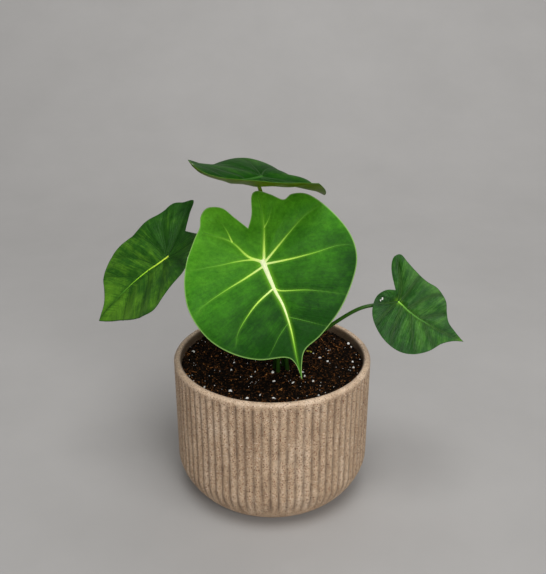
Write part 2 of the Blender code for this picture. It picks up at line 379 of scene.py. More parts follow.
def stoneware_material():
    skin = Skin("speckled_stoneware")
    place = skin.place
    wobble = skin.add("ShaderNodeTexNoise", {"Vector": place, "Scale": 900.0})
    loose = skin.vector('ADD', place, skin.vector('SCALE', wobble.outputs["Color"], 0.0014))
    drawn = skin.stretch(place, (1.0, 1.0, 0.35))
    height = skin.split(place)[2]
    radius = skin.vector('LENGTH', skin.vector('MULTIPLY', place, (1.0, 1.0, 0.0)))

    tone = skin.ramp(skin.noise(drawn, 85.0, 5.0, 0.66), [
        (0.30, (178, 150, 122)), (0.50, (206, 177, 146)), (0.70, (226, 200, 172))])
    grit = skin.ramp(skin.noise(place, 620.0, 4.0, 0.75), [(0.36, 0.66), (0.60, 1.08)])
    colour = skin.blend(0.85, tone, grit, 'MULTIPLY')
    for scale, size, rarity, speck in SPECKS:
        colour = skin.blend(speck_mask(skin, loose, scale, size, rarity), colour, speck)
    # Dust and painted shade: the grooves are darkened by their depth.
    groove_dust_and_shade = skin.times(skin.attribute("groove"), 0.80, clamp=True)
    colour = skin.blend(groove_dust_and_shade, colour, (96, 78, 62))
    # Painted highlight: the rim's crest is lightened.
    rim_highlight = skin.remap(height, RIM_HIGHLIGHT_AND_WEAR_HEIGHTS, (0.0, 0.20))
    colour = skin.blend(rim_highlight, colour, (232, 212, 188))
    # Damp stain and painted shade: the inside wall above the soil is darkened.
    damp_and_shade = skin.times(skin.remap(radius, DAMP_AND_SHADE_RADII, (0.0, 0.86)),
                      skin.math('GREATER_THAN', height, DAMP_AND_SHADE_ABOVE))
    colour = skin.blend(damp_and_shade, colour, (62, 46, 30))

    fine = skin.bump(grit, 0.0004, 0.45)
    soft = skin.bump(skin.noise(drawn, 190.0, 3.0, 0.5), 0.0008, 0.5, fine)
    return skin.done(colour, skin.remap(height, RIM_HIGHLIGHT_AND_WEAR_HEIGHTS, (0.62, 0.36)), 0.4, soft)


clay = stoneware_material()
print("made", clay.name)

# %% [markdown]
# ## The fluted planter
#
# The body is turned on a wheel and then fluted: seventy-five round ribs run from just
# under the rim and fade away on the curved heel.  The plain wall is spun from a
# profile.  A Geometry Nodes tree then presses the narrow grooves in, which is how the
# potter's comb does it, so that count, depth and run are each one number.

# %% Pot profile
POT_RADIUS, POT_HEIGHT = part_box("pot")[1][0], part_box("pot")[1][2]
WALL, FLOOR = 5.2 * MM, 7.0 * MM
FOOT_RADIUS, HEEL_HEIGHT, HEEL_SHARPNESS = 49.0 * MM, 27.0 * MM, 1.33
WALL_LEAN = 0.009
RIM_ROUND = 2.2 * MM
DRAIN_RADIUS, DRAIN_CIRCLE, DRAIN_COUNT = 4.0 * MM, 22.0 * MM, 3
RIB_COUNT, STEPS_PER_RIB = 75, 10


def pot_outside(height):
    wall = POT_RADIUS - WALL_LEAN * (POT_HEIGHT - height)
    if height >= HEEL_HEIGHT:
        return wall
    turn = math.asin((1.0 - height / HEEL_HEIGHT) ** (1.0 / HEEL_SHARPNESS))
    return FOOT_RADIUS + (wall - FOOT_RADIUS) * math.cos(turn) ** HEEL_SHARPNESS


def pot_profile():
    """From the middle of the underside, up the outside, over the rim, to the floor."""
    heel = [HEEL_HEIGHT * (step / 16) ** 1.6 for step in range(17)]
    shoulder = POT_HEIGHT - RIM_ROUND
    wall = list(np.linspace(HEEL_HEIGHT, shoulder, 40)[1:-1])
    outside = [(pot_outside(height), height) for height in heel + wall]
    foot = [(FOOT_RADIUS - 0.6 * MM, 0.0), (FOOT_RADIUS, 0.5 * MM), (FOOT_RADIUS, 1.6 * MM),
            (FOOT_RADIUS - 0.5 * MM, 2.0 * MM), (FOOT_RADIUS + 0.2 * MM, 2.5 * MM)]
    outside = foot + [point for point in outside if point[1] > 2.6 * MM]
    rim = []
    for step in range(13):
        turn = math.pi * step / 12
        rim.append((POT_RADIUS - WALL / 2 + WALL / 2 * math.cos(turn),
                    shoulder + RIM_ROUND * math.sin(turn)))
    inside = [(pot_outside(height) - WALL, height)
              for height in (0.080, 0.055, HEEL_HEIGHT, 0.55 * HEEL_HEIGHT)]
    floor = [(FOOT_RADIUS - WALL, FLOOR), (0.0, FLOOR)]
    return [(0.0, 0.0), (0.6 * FOOT_RADIUS, 0.0)] + outside + rim + inside + floor


# %% Fluting tree
RIDGE_FULLNESS = 0.72


def fluting_tree():
    """Press narrow grooves into the outside wall and remember how deep each point is."""
    group = Group("flute_wall", [
        ("Rib Count", "Float", 75.0), ("Rib Depth", "Float", 0.0008),
        ("Top", "Float", 0.1), ("Foot", "Float", 0.01), ("Wall Middle", "Float", 0.067),
        ("Unevenness", "Float", 0.1), ("Seed", "Float", 1.0), ("Material", "Material", None)])
    inputs = group.inputs
    where = group.first("GeometryNodeInputPosition")
    x, y, height = group.split(where)
    flat = group.vector('MULTIPLY', where, (1.0, 1.0, 0.0))

    def handmade(scale, detail):
        return group.first("ShaderNodeTexNoise", {
            "Vector": where, "W": inputs["Seed"], "Scale": scale, "Detail": detail},
            noise_dimensions='4D')

    turns = group.math('DIVIDE', group.math('ARCTAN2', y, x), math.tau)
    ribs = group.times(turns, inputs["Rib Count"])
    sway = group.times(group.math('SUBTRACT', handmade(30.0, 1.0), 0.5),
                       inputs["Unevenness"])
    wave = group.math('SINE', group.times(group.math('ADD', ribs, sway), math.pi))
    ridge = group.math('POWER', group.math('ABSOLUTE', wave), RIDGE_FULLNESS)
    pressed = group.remap(handmade(95.0, 2.0), (0.3, 0.7), (0.55, 1.25))
    groove = group.times(group.math('SUBTRACT', 1.0, ridge), pressed)

    def fade(start, operation, run):
        span = (start, group.math(operation, start, run))
        return group.remap(height, span, (0.0, 1.0), interpolation_type='SMOOTHSTEP')

    ends = group.times(fade(inputs["Top"], 'SUBTRACT', 0.0025),
                       fade(inputs["Foot"], 'ADD', 0.014))
    lean = group.times(group.math('LESS_THAN', height, 0.027), 0.03)
    outside = group.math('GREATER_THAN', group.math(
        'ADD', group.vector('LENGTH', flat), lean), inputs["Wall Middle"])
    depth = group.times(groove, group.times(ends, outside))
    press = group.times(group.times(depth, inputs["Rib Depth"]), -1.0)
    offset = group.vector('SCALE', group.vector('NORMALIZE', flat), press)
    return group.end(group.first("GeometryNodeStoreNamedAttribute", {
        "Geometry": group.move(inputs["Geometry"], offset), "Name": "groove",
        "Value": depth}, data_type='FLOAT', domain='POINT'))

# %% Turn and flute the pot
def drill(piece, places, radius, depth):
    """Cut upright round holes, one at each (x, y), through the lowest `depth` of a piece."""
    bm = bmesh.new()
    for x, y in places:
        bmesh.ops.create_cone(bm, cap_ends=True, segments=32, radius1=radius, radius2=radius,
                              depth=2 * depth, matrix=Matrix.Translation((x, y, 0.0)))
    drills = link_bmesh("drills", bm)
    cut = piece.modifiers.new("drill", 'BOOLEAN')
    cut.operation, cut.solver, cut.object = 'DIFFERENCE', 'EXACT', drills
    bake(piece, cut)
    bpy.data.objects.remove(drills)


pot = spin_profile("planter", pot_profile(), RIB_COUNT * STEPS_PER_RIB)
turns = [math.tau * (index + 0.25) / DRAIN_COUNT for index in range(DRAIN_COUNT)]
drill(pot, [(DRAIN_CIRCLE * math.cos(turn), DRAIN_CIRCLE * math.sin(turn))
            for turn in turns], DRAIN_RADIUS, FLOOR + 2 * MM)
grow(pot, fluting_tree(), {
    "Rib Count": float(RIB_COUNT), "Rib Depth": 1.30 * MM, "Top": 101.0 * MM,
    "Foot": 7.0 * MM, "Wall Middle": 67.0 * MM, "Unevenness": 0.30, "Material": clay})
finish_piece(pot, "stoneware", "pot")

# %% [markdown]
# ## Potting mix
#
# Potting mix is dark peat with bark chips, coir fibres and white perlite, a puffed
# volcanic glass that keeps it airy.  The bed is one body with a lumpy top.  Its crumbs,
# chips and perlite are scattered on the bed by one Geometry Nodes tree that is used with
# different sizes, stretches and colours.

# %% Grain materials
def grain_material(name, stops, scale, roughness):
    """A dry crumb: its colour drifts from grain to grain, and its face is rough."""
    skin = Skin(name)
    colour = skin.ramp(skin.noise(skin.place, scale, 4.0, 0.6), stops)
    rough = skin.bump(skin.noise(skin.place, 3000.0, 4.0, 0.7), 0.0004, 0.6)
    return skin.done(colour, roughness, 0.08, rough)


peat = grain_material("damp_peat", [
    (0.36, (7, 5, 3)), (0.55, (20, 14, 8)), (0.69, (104, 66, 34))], 560.0, 0.95)
bark = grain_material("bark_chip", [
    (0.38, (64, 36, 17)), (0.54, (132, 80, 38)), (0.68, (214, 152, 86))], 420.0, 0.85)
chalk = grain_material("perlite", [
    (0.30, (236, 233, 224)), (0.60, (255, 255, 252))], 700.0, 0.9)
print("made", peat.name, bark.name, chalk.name)


# %% Scattering tree
def scatter_tree():
    """Strew small uneven grains over the upward faces of a bed."""
    group = Group("scatter_grains", [
        ("Density", "Float", 100000.0), ("Smallest", "Vector", (0.001,) * 3),
        ("Largest", "Vector", (0.002,) * 3), ("Sink", "Float", 0.0),
        ("Lumpiness", "Float", 0.3), ("Facets", "Int", 1), ("Seed", "Int", 1),
        ("Material", "Material", None)])
    inputs = group.inputs
    seed = inputs["Seed"]

    def random_vector(least, most):
        return group.first("FunctionNodeRandomValue", {0: least, 1: most, "Seed": seed},
                           data_type='FLOAT_VECTOR')

    up = group.split(group.first("GeometryNodeInputNormal"))[2]
    where = group.first("GeometryNodeInputPosition")
    level = group.times(group.math('GREATER_THAN', up, 0.3),
                        group.math('GREATER_THAN', group.split(where)[2], 0.09))
    points = group.first("GeometryNodeDistributePointsOnFaces", {
        "Mesh": inputs["Geometry"], "Selection": level, "Density": inputs["Density"],
        "Seed": seed})
    sunk = group.move(points, group.first("ShaderNodeCombineXYZ", {2: inputs["Sink"]}))
    ball = group.first("GeometryNodeMeshIcoSphere", {"Radius": 0.5,
                                                     "Subdivisions": inputs["Facets"]})
    size = random_vector(inputs["Smallest"], inputs["Largest"])
    spin = random_vector((-0.35, -0.35, 0.0), (0.35, 0.35, math.tau))
    strewn = group.first("GeometryNodeInstanceOnPoints", {
        "Points": sunk, "Instance": ball, "Rotation": spin, "Scale": size})
    real = group.first("GeometryNodeRealizeInstances", {0: strewn})
    shake = group.add("ShaderNodeTexNoise", {"Vector": where, "Scale": 900.0, "Detail": 2.0})
    centred = group.vector('SUBTRACT', shake.outputs["Color"], (0.5, 0.5, 0.5))
    push = group.vector('SCALE', centred, group.times(inputs["Lumpiness"], 0.003))
    return group.end(group.move(real, push))

# %% Soil bed
SOIL_LEVEL = 97.0 * MM
CROWN = np.array((0.006, -0.008))


def soil_profile():
    side = [(pot_outside(height) - WALL - 0.6 * MM, height)
            for height in (0.55 * HEEL_HEIGHT, HEEL_HEIGHT, SOIL_LEVEL - 4 * MM)]
    edge = side[-1][0]
    top = [(edge * (1 - step / 46), SOIL_LEVEL - 1.5 * MM) for step in range(47)]
    return [(0.0, FLOOR + 0.3 * MM), (FOOT_RADIUS - WALL - 0.3 * MM, FLOOR + 0.3 * MM)] \
        + side + top


def lump(vert):
    """Height of the soil's top above its mean: broad hollows, then crumbs."""
    broad = noise.fractal(Vector((vert.x * 55, vert.y * 55, 3.0)), 1.0, 2.0, 3)
    crumbs = noise.fractal(Vector((vert.x * 420, vert.y * 420, 9.0)), 1.0, 2.0, 2)
    mound = math.exp(-((vert.x - CROWN[0]) ** 2 + (vert.y - CROWN[1]) ** 2) / 0.018 ** 2)
    bank = min(max((math.hypot(vert.x, vert.y) / MM - 50.0) / 12.0, 0.0), 1.0)
    return (0.9 * broad + 0.55 * crumbs + 1.0 * mound + 2.2 * bank) * MM


bed = spin_profile("soil_bed", soil_profile(), 220)
for vert in bed.data.vertices:
    if vert.co.z > SOIL_LEVEL - 2 * MM:
        vert.co.z += lump(vert.co)
bed.data.materials.append(peat)
print("soil bed", len(bed.data.polygons), "faces")

# %% Scatter crumbs, chips and perlite
scatter = scatter_tree()
GRAINS = {
    "peat_crumbs": (peat, 400000, (0.7, 0.7, 0.5), (2.6, 2.3, 1.8), 0.1, 0.5, 1, 3),
    "bark_chips": (bark, 50000, (0.35, 0.3, 0.25), (1.6, 1.0, 0.8), 0.5, 0.35, 1, 11),
    "coir_fibres": (bark, 7000, (3.0, 0.25, 0.25), (8.5, 0.45, 0.4), 0.7, 0.6, 1, 17),
    "perlite_grains": (chalk, 4300, (0.7, 0.6, 0.6), (2.7, 2.2, 1.9), 0.6, 0.42, 2, 23),
    "perlite_dust": (chalk, 9000, (0.35, 0.35, 0.3), (0.8, 0.7, 0.6), 0.8, 0.2, 1, 29),
}
for name, (skin, density, least, most, lift, lumpiness, facets, seed) in GRAINS.items():
    grains = link_mesh(name, bed.data.copy())
    grow(grains, scatter, {
        "Density": float(density), "Smallest": [v * MM for v in least],
        "Largest": [v * MM for v in most], "Sink": lift * MM, "Lumpiness": lumpiness,
        "Facets": facets, "Seed": seed, "Material": skin})
    finish_piece(grains, "potting_mix", "soil")
finish_piece(bed, "potting_mix", "soil")

# %% [markdown]
# ## The leaves' shape
#
# An alocasia leaf is a heart with two round lobes behind its stalk and a narrow drip
# tip.  Each blade is drawn flat in millimetres, with the stalk's joint at (0, 0), u
# across and v along the midrib to the tip.  It is then lifted off its plane by a few
# plain terms, each with its own meaning: the fold along the midrib, the curl of the
# sides, the droop of the tip and of the lobes.  These are the same terms as in the CAD.

# %% Leaf table
# Pairs are (left half, right half), and are zero where left out.  "right" and "left" run
# from the notch to the tip and back.  Each vein is (its points, girth at its start,
# girth at its end), and the midrib comes first.
# hook       how far the end of the drip tip lifts, in millimetres
# quilt      depth of the dip along a vein, height of the puff beside it, margin's ripple
# painted_light  painted light: how much lighter the skin gets across to the right,
#                and along to the tip
# pale_loss  how much sooner the side veins turn green than the midrib does
# lime_tip   length of the bright end of the drip tip
def both_sides(veins):
    """Veins of the right half, then the same veins mirrored to the left half."""
    return veins + [([(-u, v) for u, v in points], *girths) for points, *girths in veins]


LEAVES = {
    "front": {
        "joint": (-0.006, -0.026, 0.185),
        "heading": 306, "droop": 58, "tilt": -28,
        "fold": (0.10, 0.10), "curl": (-0.12, -0.12), "tip": -0.10,
        "lobe": (-0.30, -0.30),
        "quilt": (0.40, 0.95, 0.7), "painted_light": (-0.45, -1.60), "pale_loss": 0.47,
        "right": [(3, -33), (7, -45), (12, -47), (19, -42), (26, -36), (33, -38), (43, -34),
                  (53, -20), (60, -2), (60, 14), (53, 28), (39, 44), (22, 56), (9, 62), (4, 70)],
        "tip_point": (1, 80),
        "left": [(0, 69), (-5, 63), (-22, 59), (-37, 50), (-49, 36), (-55, 18), (-54, 2),
                 (-48, -14), (-38, -28), (-32, -35), (-29, -42), (-23, -46), (-14, -43),
                 (-8, -34)],
        "notch": (-2, -25),
        "veins": [
            ([(0, -2), (1, 10), (2, 20), (4, 31), (4, 47), (2, 65), (1, 78)], 2.9, 0.30),
            ([(1, -1), (4, -10), (8, -22), (10, -32), (11, -42)], 1.6, 0.3),
            ([(8, -22), (13, -27), (18, -35)], 0.7, 0.12),
            ([(1, 0), (12, -7), (23, -14), (35, -21), (47, -25)], 1.2, 0.25),
            ([(1, 1), (18, 3), (35, 4), (49, 4), (58, 6)], 1.1, 0.12),
            ([(2, 18), (6, 21), (20, 25), (30, 29), (45, 36)], 0.9, 0.12),
            ([(0, -1), (-8, -7), (-15, -19), (-25, -27), (-31, -31)], 1.5, 0.3),
            ([(-15, -19), (-16, -28), (-19, -38)], 0.8, 0.12),
            ([(0, 0), (-6, -4), (-16, -6), (-27, -7), (-42, -9), (-49, -10)], 1.0, 0.12),
            ([(0, 2), (-14, 6), (-30, 10), (-46, 15), (-53, 20)], 1.1, 0.12),
            ([(1, 18), (-12, 24), (-23, 32), (-30, 39), (-34, 47)], 1.0, 0.12),
            ([(4, 38), (14, 44), (22, 49), (27, 52)], 0.3, 0.1),
            ([(4, 42), (-4, 48), (-11, 55), (-15, 59)], 0.3, 0.1)],
    },
    "left": {
        "joint": (-0.072, 0.002, 0.178),
        "heading": 198, "droop": 40, "tilt": 14,
        "fold": (0.28, 0.37), "curl": (-0.10, -0.10), "tip": -0.13,
        "lobe": (-0.10, 0.05), "twist": (0.0, -0.25), "lobe_twist": (0.0, 0.25),
        "quilt": (0.90, 1.60, 0.7), "painted_light": (0.05, 0.60), "pale_loss": 0.80,
        "right": [(4, -26), (12, -26), (19, -20), (27, -13), (35, -7), (37, 5), (39, 17), (42, 27),
                  (34, 37), (22, 46), (9, 54)],
        "tip_point": (-7, 66),
        "left": [(-11, 57), (-19, 50), (-29, 44), (-35, 35), (-37, 22), (-35, 8), (-35, -5),
                 (-33, -16), (-32, -27), (-27, -33), (-21, -39), (-15, -31)],
        "notch": (-6, -21),
        "veins": [
            ([(0, -1), (-2, 8), (-4, 16), (-6, 30), (-7, 48), (-7, 64)], 1.35, 0.25),
            ([(-1, 0), (-6, -10), (-13, -22), (-20, -34)], 0.9, 0.12),
            ([(-1, 0), (-14, -6), (-24, -12), (-32, -20)], 0.6, 0.1),
            ([(-1, 1), (-14, 2), (-26, 4), (-35, 10)], 0.6, 0.1),
            ([(-3, 10), (-14, 15), (-26, 22), (-35, 31)], 0.6, 0.1),
            ([(-5, 24), (-14, 31), (-24, 40), (-28, 43)], 0.5, 0.1),
            ([(1, -1), (6, -10), (10, -18), (10, -24)], 0.8, 0.12),
            ([(1, 0), (12, -4), (24, -6), (34, -4)], 0.6, 0.1),
            ([(0, 3), (12, 8), (26, 14), (38, 22)], 0.6, 0.1),
            ([(-4, 16), (8, 22), (22, 31), (33, 37)], 0.6, 0.1),
            ([(-6, 32), (2, 40), (12, 48), (16, 50)], 0.5, 0.1)],
    },
    "top": {
        "joint": (-0.0073, 0.0098, 0.2327),
        "heading": 221, "droop": 0, "tilt": 23,
        "fold": (-0.36, 0.30), "curl": (-0.38, 0.73), "tip": 0.54,
        "lobe": (-1.14, -0.24), "twist": (0.40, 0.45), "lobe_twist": (0.66, -1.34),
        "hook": 4.5,
        "quilt": (0.55, 0.90, 0.5), "painted_light": (-0.1, 0.0), "pale_loss": 0.60,
        "right": [(4, -29), (9, -38), (16, -40), (25, -36), (34, -28), (42, -17), (47, -3),
                  (48, 10), (44, 22), (37, 33), (26, 43), (14, 51), (5, 57)],
        "tip_point": (0, 66),
        "left": [(-5, 57), (-14, 51), (-26, 43), (-37, 33), (-44, 22), (-48, 10), (-47, -3),
                 (-42, -17), (-34, -28), (-25, -36), (-16, -40), (-8, -38), (-3, -29)],
        "notch": (0, -21),
        "veins": [
            ([(0, -1), (0, 12), (0, 28), (0, 46), (0, 64)], 1.9, 0.3)] + both_sides([
                ([(1, -1), (8, -12), (14, -26), (16, -36)], 1.1, 0.12),
                ([(1, 0), (16, -7), (30, -15), (40, -18)], 0.8, 0.12),
                ([(1, 1), (18, 3), (34, 6), (46, 11)], 0.8, 0.12),
                ([(0, 14), (14, 20), (28, 27), (39, 31)], 0.7, 0.12),
                ([(0, 30), (10, 36), (20, 42), (27, 42)], 0.6, 0.1)]),
    },
    "right": {
        "joint": (0.086, -0.012, 0.151),
        "heading": 330, "droop": 23, "tilt": -45,
        "fold": (0.18, 0.18), "curl": (-0.15, -0.15), "tip": -0.10,
        "lobe": (-0.25, -0.25),
        "quilt": (1.00, 1.90, 0.5), "painted_light": (0.5, 0.2), "pale_loss": 0.60, "lime_tip": 4.0,
        "right": [(11, -12), (18, -18), (24, -20), (28, -17), (26, -10), (24, -2), (22, 8),
                  (22, 17), (18, 26), (12, 31), (7, 36), (4, 44)],
        "tip_point": (2, 51),
        "left": [(-2, 45), (-8, 40), (-17, 36), (-25, 29), (-29, 21), (-29, 11), (-26, 2),
                 (-20, -7), (-13, -12), (-5, -14), (2, -11)],
        "notch": (6, -5),
        "veins": [
            ([(0, 0), (-2, 12), (-2, 22), (-1, 34), (2, 49)], 0.9, 0.25),
            ([(0, 0), (9, -4), (17, -11), (24, -17)], 0.7, 0.1),
            ([(0, 1), (10, 2), (18, 2), (23, 3)], 0.5, 0.1),
            ([(-1, 8), (8, 12), (16, 17), (20, 22)], 0.5, 0.1),
            ([(-2, 18), (4, 24), (10, 30)], 0.4, 0.12),
            ([(0, 0), (-5, -5), (-9, -10)], 0.7, 0.1),
            ([(0, 0), (-10, -2), (-19, -3), (-22, -3)], 0.5, 0.1),
            ([(-1, 4), (-12, 7), (-22, 10), (-28, 14)], 0.5, 0.1),
            ([(-2, 12), (-11, 18), (-19, 25), (-23, 29)], 0.5, 0.1),
            ([(-2, 22), (-8, 29), (-12, 37)], 0.4, 0.1)],
    },
}
print("leaves:", ", ".join(LEAVES))

# %% Leaf surface
def path_distance(path, u, v, closed=False):
    """Distance from each (u, v) to a path, and how far along it the nearest point is."""
    ends = np.roll(path, -1, axis=0) if closed else path[1:]
    nearest, along = np.full(u.shape, FAR), np.zeros(u.shape)
    for index, (a, b) in enumerate(zip(path, ends)):
        step = b - a
        share = np.clip(((u - a[0]) * step[0] + (v - a[1]) * step[1]) / (step @ step), 0, 1)
        away = np.hypot(u - a[0] - share * step[0], v - a[1] - share * step[1])
        closer = away < nearest
        nearest[closer] = away[closer]
        along[closer] = (index + share[closer]) / len(ends)
    return nearest, along


# Millimetres: how soft the fold and the change from one half to the other are, where
# the hook starts and how long it runs, half the blade's thickness, and the reach of the
# thinner edge, of a vein's dip, of the flat strip beside it, and of the margin's ripple.
FOLD_SOFTNESS, SIDE_BLEND = 5.0, 6.0
HOOK_START, HOOK_RUN = 48.0, 18.0
BLADE_HALF, EDGE_THINNING, THIN_EDGE = 0.4, 0.45, 4.0
DIP_WIDTH, FLAT_STRIP, FLAT_MARGIN, RIPPLE_WIDTH = 1.9, 6.5, 6.0, 8.0
RINGS, PARTS = 54, 13
FAR = 99.0


def leaf_axes(leaf):
    """Unit vectors along the midrib, across the blade and out of its upper face."""
    heading, droop, tilt = (math.radians(leaf[key]) for key in ("heading", "droop", "tilt"))
    along = np.array((math.cos(heading) * math.cos(droop),
                      math.sin(heading) * math.cos(droop), -math.sin(droop)))
    upright = np.array((0.0, 0.0, 1.0)) - along * along[2]
    upright /= np.linalg.norm(upright)
    face = upright * math.cos(tilt) + np.cross(upright, along) * math.sin(tilt)
    return along, np.cross(face, along), face


def leaf_rise(leaf, u, v):
    """Height of the blade above its flat plane, in millimetres."""
    share = 0.5 * (1.0 + np.tanh(u / SIDE_BLEND))

    def sides(key):
        left, right = leaf.get(key, (0.0, 0.0))
        return left * (1.0 - share) + right * share

    ahead, behind = np.maximum(v, 0.0), np.maximum(-v, 0.0)
    rise = sides("fold") * (np.hypot(u, FOLD_SOFTNESS) - FOLD_SOFTNESS)
    rise = rise + leaf.get("hook", 0.0) * (np.maximum(v - HOOK_START, 0.0) / HOOK_RUN) ** 2
    return rise + (sides("curl") * u * u + leaf["tip"] * ahead ** 2
                   + sides("lobe") * behind ** 2 + sides("twist") * np.abs(u) * ahead
                   + sides("lobe_twist") * np.abs(u) * behind) / 100


def vein_marks(leaf, u, v):
    """Distance to the nearest vein in millimetres, and how strongly the veins press the
    blade in and colour it, both from 0 to about 1."""
    nearest = np.full(u.shape, FAR)
    press, glow = np.zeros(u.shape), np.zeros(u.shape)
    for points, thick, thin in leaf["veins"]:
        path = smooth_path(points, 5)
        away, run = path_distance(path, u, v)
        girth = thick + (thin - thick) * run
        nearest = np.minimum(nearest, away)
        press = np.maximum(press, np.clip(girth / 0.9, 0.35, 1.2)
                           * np.exp(-(away / DIP_WIDTH) ** 2))
        glow = np.maximum(glow, np.clip(girth / 1.8, 0.08, 1.0)
                          * np.exp(-(away / (0.4 + 0.85 * girth)) ** 2))
    return nearest, press, glow


def leaf_outline(leaf):
    """Closed outline with sharp corners at the notch and the tip only."""
    right = smooth_path([leaf["notch"]] + leaf["right"] + [leaf["tip_point"]], PARTS)
    left = smooth_path([leaf["tip_point"]] + leaf["left"] + [leaf["notch"]], PARTS)
    return np.concatenate([right[:-1], left[:-1]])


def blade_height(leaf, u, v):
    """Height of the finished blade above its flat plane, with what its skin needs:
    quilting that dips along each vein and puffs up between them, and a wavy margin."""
    away, press, glow = vein_marks(leaf, u, v)
    margin, around = path_distance(leaf_outline(leaf), u, v, closed=True)
    valley, puff, ripple = leaf["quilt"]
    dip = -valley * press
    swell = puff * (1.0 - np.exp(-(away / FLAT_STRIP) ** 2)) \
        * (1.0 - np.exp(-margin / FLAT_MARGIN))
    turn = math.tau * around
    wave = np.sin(5 * turn + leaf["heading"]) + 0.45 * np.sin(12 * turn + leaf["tilt"])
    wave = ripple * wave * np.exp(-(margin / RIPPLE_WIDTH) ** 2)
    return leaf_rise(leaf, u, v) + dip + swell + wave, glow, margin, away


def half_thickness(margin):
    return BLADE_HALF * (1.0 - EDGE_THINNING * np.exp(-margin / THIN_EDGE))


def lay_on_leaf(leaf, u, v, lift):
    """Points in the row frame, in metres, from flat leaf millimetres."""
    along, across, face = leaf_axes(leaf)
    flat = np.outer(v, along) + np.outer(u, across) + np.outer(lift, face)
    return np.array(leaf["joint"]) + flat * MM


def finish_on_leaf(piece, name):
    finish_piece(piece, "leaf_light" if name == "front" else "leaf_dark", "blade_" + name)


# %% [markdown]
# ## Leaf skin
#
# Fresh alocasia leaves are satin: a soft sheen over mottled green.  The tissue is
# lighter beside the veins, which are lime where they are thick and green where they are
# thin, and the margin is a thin pale line.  Fine streaks run outwards with the side
# veins.  They follow a map that is laid along the veins, so the same recipe suits each
# leaf, with its own greens.  Painted light makes each blade lighter to one side and
# darker to the other, and painted shade darkens the creases along its veins.

# %% Leaf materials
def leaf_material(name, colours, streaks, shine, relief, calm=0.0, painted_crease_shade_depth=0.5):
    """`calm` spreads the tones apart, so that the mottling is fainter."""
    dark, middle, light, glow, margin = colours
    skin = Skin(name)
    grain = skin.first("ShaderNodeUVMap", uv_map="grain")
    long_grain = skin.stretch(grain, (1.0, 0.11, 1.0))
    wide = skin.noise(long_grain, 0.30, 3.0, 0.6)
    fine = skin.noise(long_grain, 1.1, 2.0, 0.6)
    cloud = skin.noise(skin.place, 52.0, 5.0, 0.66)
    mixed = skin.times(wide, streaks)
    # The "tone" attribute is painted light: it makes the skin lighter to one side and darker to
    # the other.
    for part, share in [(cloud, 1.0 - streaks), (skin.math('SUBTRACT', fine, 0.5), 0.20),
                        (skin.attribute("tone"), 0.22)]:
        mixed = skin.math('ADD', mixed, skin.times(part, share))

    colour = skin.ramp(mixed, [(0.32 - calm, dark), (0.50, middle), (0.70 + calm, light)])
    cells = skin.ramp(skin.noise(skin.place, 480.0, 4.0, 0.7), [(0.32, 0.80), (0.66, 1.12)])
    colour = skin.blend(1.0, colour, cells, 'MULTIPLY')
    # Painted shade: the skin is darkened along the creases of the veins.
    colour = skin.blend(skin.times(skin.attribute("painted_crease_shade"), painted_crease_shade_depth), colour, dark)
    beside = skin.times(skin.attribute("near_vein"), 0.60, clamp=True)
    colour = skin.blend(beside, colour, glow)
    colour = skin.blend(skin.attribute("near_edge"), colour, margin)

    sheen = skin.remap(fine, (0.3, 0.7), (0.38, 0.50))
    pores = skin.bump(cells, 0.0003, 0.35, skin.bump(fine, 0.0006, relief))
    return skin.done(colour, sheen, shine, pores)


# Each leaf: its dark, middle and light skin, the glow beside its veins, its margin.
SKINS = {
    "front": leaf_material("leaf_front_skin", [
        (22, 70, 8), (56, 122, 20), (90, 162, 34), (150, 224, 54), (150, 196, 104)],
        streaks=0.16, shine=0.07, relief=0.35, calm=0.15, painted_crease_shade_depth=0.10),
    "left": leaf_material("leaf_left_skin", [
        (14, 54, 10), (40, 88, 20), (92, 144, 34), (64, 124, 28), (34, 76, 20)],
        streaks=0.40, shine=0.14, relief=0.8, calm=0.02, painted_crease_shade_depth=0.45),
    "top": leaf_material("leaf_top_skin", [
        (12, 48, 6), (24, 72, 10), (48, 98, 18), (34, 84, 16), (78, 118, 40)],
        streaks=0.30, shine=0.03, relief=0.5),
    "right": leaf_material("leaf_right_skin", [
        (12, 50, 6), (32, 84, 16), (80, 134, 46), (120, 180, 38), (38, 84, 22)],
        streaks=0.42, shine=0.20, relief=1.0, painted_crease_shade_depth=0.75),
}
UNDERSIDE = leaf_material("leaf_underside", [
    (78, 100, 4), (98, 120, 8), (120, 142, 20), (120, 148, 34), (110, 136, 50)],
    streaks=0.4, shine=0.08, relief=0.4)
print("leaf skins:", len(SKINS) + 1)


# %% Vein and stalk materials
def grown_material(name, stops, roughness, streak_scale=700.0, faintest=0.78):
    """Colour runs along the part by its own "fade" attribute, with fine long streaks."""
    skin = Skin(name)
    drawn = skin.stretch(skin.place, (1.0, 1.0, 0.12))
    streak = skin.ramp(skin.noise(drawn, streak_scale, 3.0, 0.6),
                       [(0.32, faintest), (0.64, 1.06)])
    colour = skin.blend(1.0, skin.ramp(skin.attribute("fade"), stops), streak, 'MULTIPLY')
    return skin.done(colour, roughness, 0.2, skin.bump(streak, 0.0002, 0.3))


